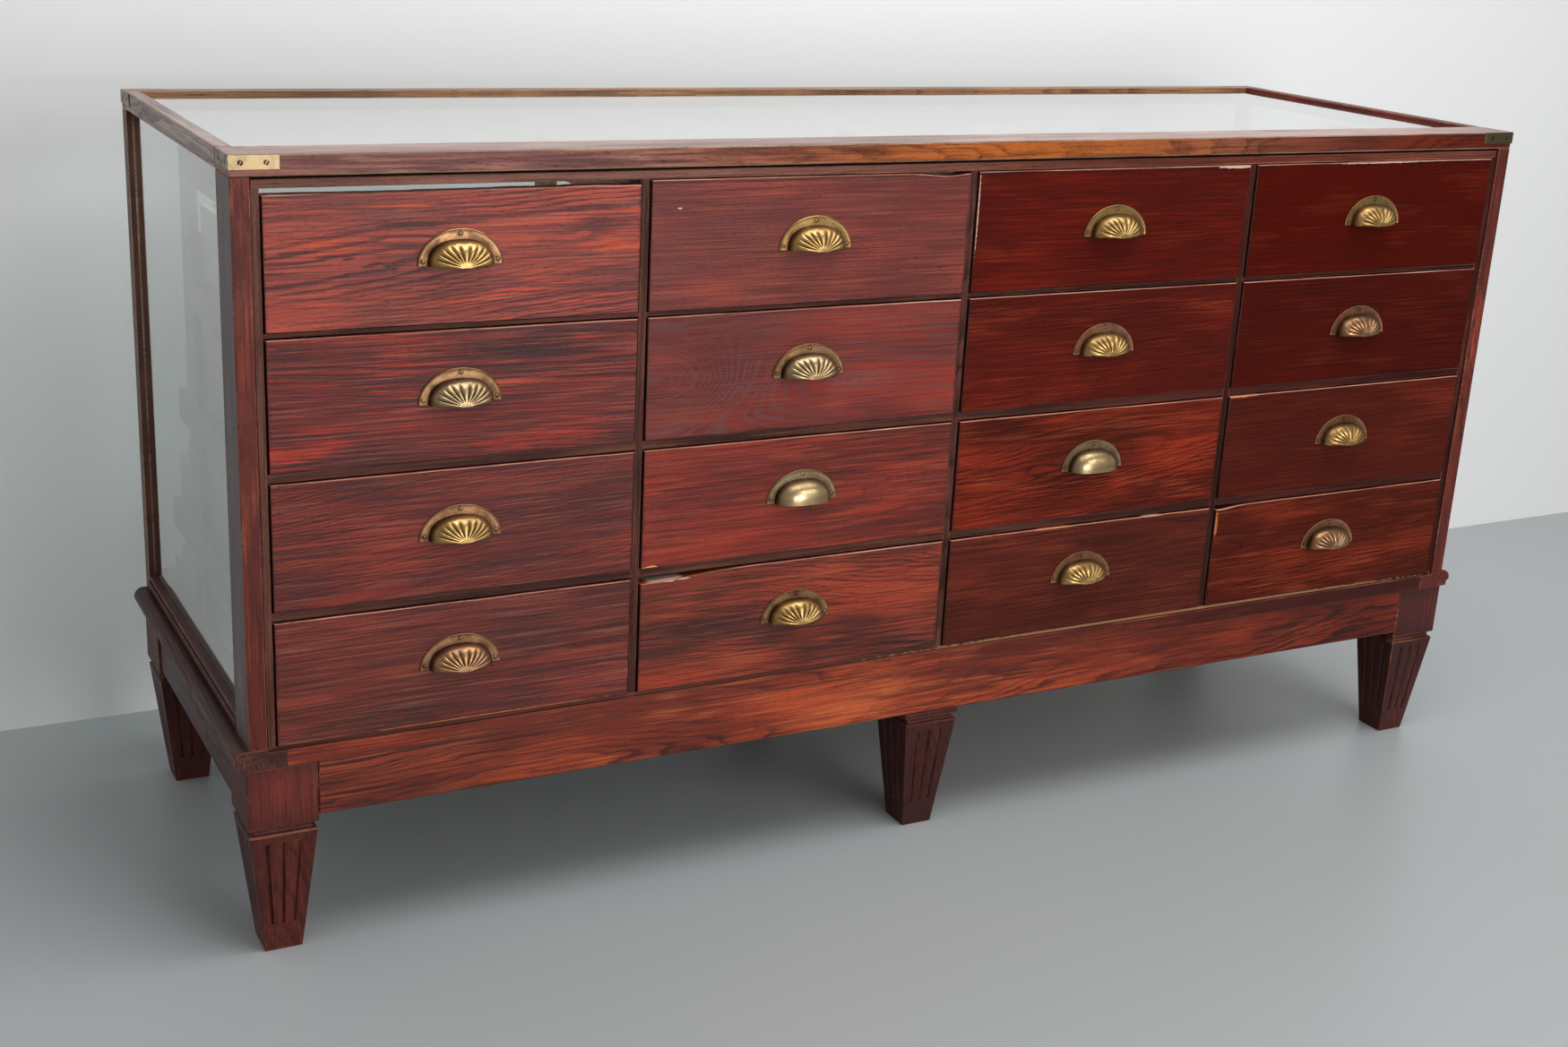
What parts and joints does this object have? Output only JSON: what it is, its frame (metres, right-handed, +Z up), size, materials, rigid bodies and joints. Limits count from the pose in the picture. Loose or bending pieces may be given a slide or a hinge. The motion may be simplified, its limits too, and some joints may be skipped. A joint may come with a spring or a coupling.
{
  "type": "haberdashery cabinet",
  "caption": "Glazed shop-counter cabinet on tapered fluted legs, with a nest of long sliding wooden drawers worked by brass cup pulls",
  "frame": {"origin": "On the floor under the middle of the whole cabinet, pulls and corner brackets included.", "axes": "+X runs along the cabinet to the right of someone who faces the drawers, +Y from the drawer side to the back, +Z up."},
  "size_m": [1.936, 0.6306, 0.975],
  "materials": {
    "red_stained_oak": "worn satin varnish",
    "pale_runner_wood": "bare, waxed",
    "aged_brass": "hand-worn polish",
    "clear_glass": "polished"
  },
  "bodies": {
    "case": {"front_top_rail": "red_stained_oak", "back_top_rail": "red_stained_oak", "left_top_rail": "red_stained_oak", "right_top_rail": "red_stained_oak", "front_left_post": "red_stained_oak", "front_right_post": "red_stained_oak", "back_left_post": "red_stained_oak", "back_right_post": "red_stained_oak", "top_glass": "clear_glass", "left_glass": "clear_glass", "right_glass": "clear_glass", "back_glass": "clear_glass", "left_base_rail": "red_stained_oak", "right_base_rail": "red_stained_oak", "front_base_rail": "red_stained_oak", "back_plinth": "red_stained_oak", "front_apron": "red_stained_oak", "left_apron": "red_stained_oak", "right_apron": "red_stained_oak", "front_left_leg": "red_stained_oak", "front_middle_leg": "red_stained_oak", "front_right_leg": "red_stained_oak", "back_left_leg": "red_stained_oak", "back_middle_leg": "red_stained_oak", "back_right_leg": "red_stained_oak", "corner_brackets": "aged_brass", "nest_frame": "red_stained_oak", "drawer_runners": "pale_runner_wood"},
    "drawer_r1c1": {"drawer_r1c1": "red_stained_oak", "cup_pull_r1c1": "aged_brass"},
    "drawer_r1c2": {"drawer_r1c2": "red_stained_oak", "cup_pull_r1c2": "aged_brass"},
    "drawer_r1c3": {"drawer_r1c3": "red_stained_oak", "cup_pull_r1c3": "aged_brass"},
    "drawer_r1c4": {"drawer_r1c4": "red_stained_oak", "cup_pull_r1c4": "aged_brass"},
    "drawer_r2c1": {"drawer_r2c1": "red_stained_oak", "cup_pull_r2c1": "aged_brass"},
    "drawer_r2c2": {"drawer_r2c2": "red_stained_oak", "cup_pull_r2c2": "aged_brass"},
    "drawer_r2c3": {"drawer_r2c3": "red_stained_oak", "cup_pull_r2c3": "aged_brass"},
    "drawer_r2c4": {"drawer_r2c4": "red_stained_oak", "cup_pull_r2c4": "aged_brass"},
    "drawer_r3c1": {"drawer_r3c1": "red_stained_oak", "cup_pull_r3c1": "aged_brass"},
    "drawer_r3c2": {"drawer_r3c2": "red_stained_oak", "cup_pull_r3c2": "aged_brass"},
    "drawer_r3c3": {"drawer_r3c3": "red_stained_oak", "cup_pull_r3c3": "aged_brass"},
    "drawer_r3c4": {"drawer_r3c4": "red_stained_oak", "cup_pull_r3c4": "aged_brass"},
    "drawer_r4c1": {"drawer_r4c1": "red_stained_oak", "cup_pull_r4c1": "aged_brass"},
    "drawer_r4c2": {"drawer_r4c2": "red_stained_oak", "cup_pull_r4c2": "aged_brass"},
    "drawer_r4c3": {"drawer_r4c3": "red_stained_oak", "cup_pull_r4c3": "aged_brass"},
    "drawer_r4c4": {"drawer_r4c4": "red_stained_oak", "cup_pull_r4c4": "aged_brass"}
  },
  "joints": [
    {"name": "slide_r1c1", "type": "slide", "parent": "case", "child": "drawer_r1c1", "axis": [0, -1, 0], "range_m": [0, 0.28]},
    {"name": "slide_r1c2", "type": "slide", "parent": "case", "child": "drawer_r1c2", "axis": [0, -1, 0], "range_m": [0, 0.28]},
    {"name": "slide_r1c3", "type": "slide", "parent": "case", "child": "drawer_r1c3", "axis": [0, -1, 0], "range_m": [0, 0.28]},
    {"name": "slide_r1c4", "type": "slide", "parent": "case", "child": "drawer_r1c4", "axis": [0, -1, 0], "range_m": [0, 0.28]},
    {"name": "slide_r2c1", "type": "slide", "parent": "case", "child": "drawer_r2c1", "axis": [0, -1, 0], "range_m": [0, 0.34]},
    {"name": "slide_r2c2", "type": "slide", "parent": "case", "child": "drawer_r2c2", "axis": [0, -1, 0], "range_m": [0, 0.34]},
    {"name": "slide_r2c3", "type": "slide", "parent": "case", "child": "drawer_r2c3", "axis": [0, -1, 0], "range_m": [0, 0.34]},
    {"name": "slide_r2c4", "type": "slide", "parent": "case", "child": "drawer_r2c4", "axis": [0, -1, 0], "range_m": [0, 0.34]},
    {"name": "slide_r3c1", "type": "slide", "parent": "case", "child": "drawer_r3c1", "axis": [0, -1, 0], "range_m": [0, 0.39]},
    {"name": "slide_r3c2", "type": "slide", "parent": "case", "child": "drawer_r3c2", "axis": [0, -1, 0], "range_m": [0, 0.39]},
    {"name": "slide_r3c3", "type": "slide", "parent": "case", "child": "drawer_r3c3", "axis": [0, -1, 0], "range_m": [0, 0.39]},
    {"name": "slide_r3c4", "type": "slide", "parent": "case", "child": "drawer_r3c4", "axis": [0, -1, 0], "range_m": [0, 0.39]},
    {"name": "slide_r4c1", "type": "slide", "parent": "case", "child": "drawer_r4c1", "axis": [0, -1, 0], "range_m": [0, 0.45]},
    {"name": "slide_r4c2", "type": "slide", "parent": "case", "child": "drawer_r4c2", "axis": [0, -1, 0], "range_m": [0, 0.45]},
    {"name": "slide_r4c3", "type": "slide", "parent": "case", "child": "drawer_r4c3", "axis": [0, -1, 0], "range_m": [0, 0.45]},
    {"name": "slide_r4c4", "type": "slide", "parent": "case", "child": "drawer_r4c4", "axis": [0, -1, 0], "range_m": [0, 0.45]}
  ]
}
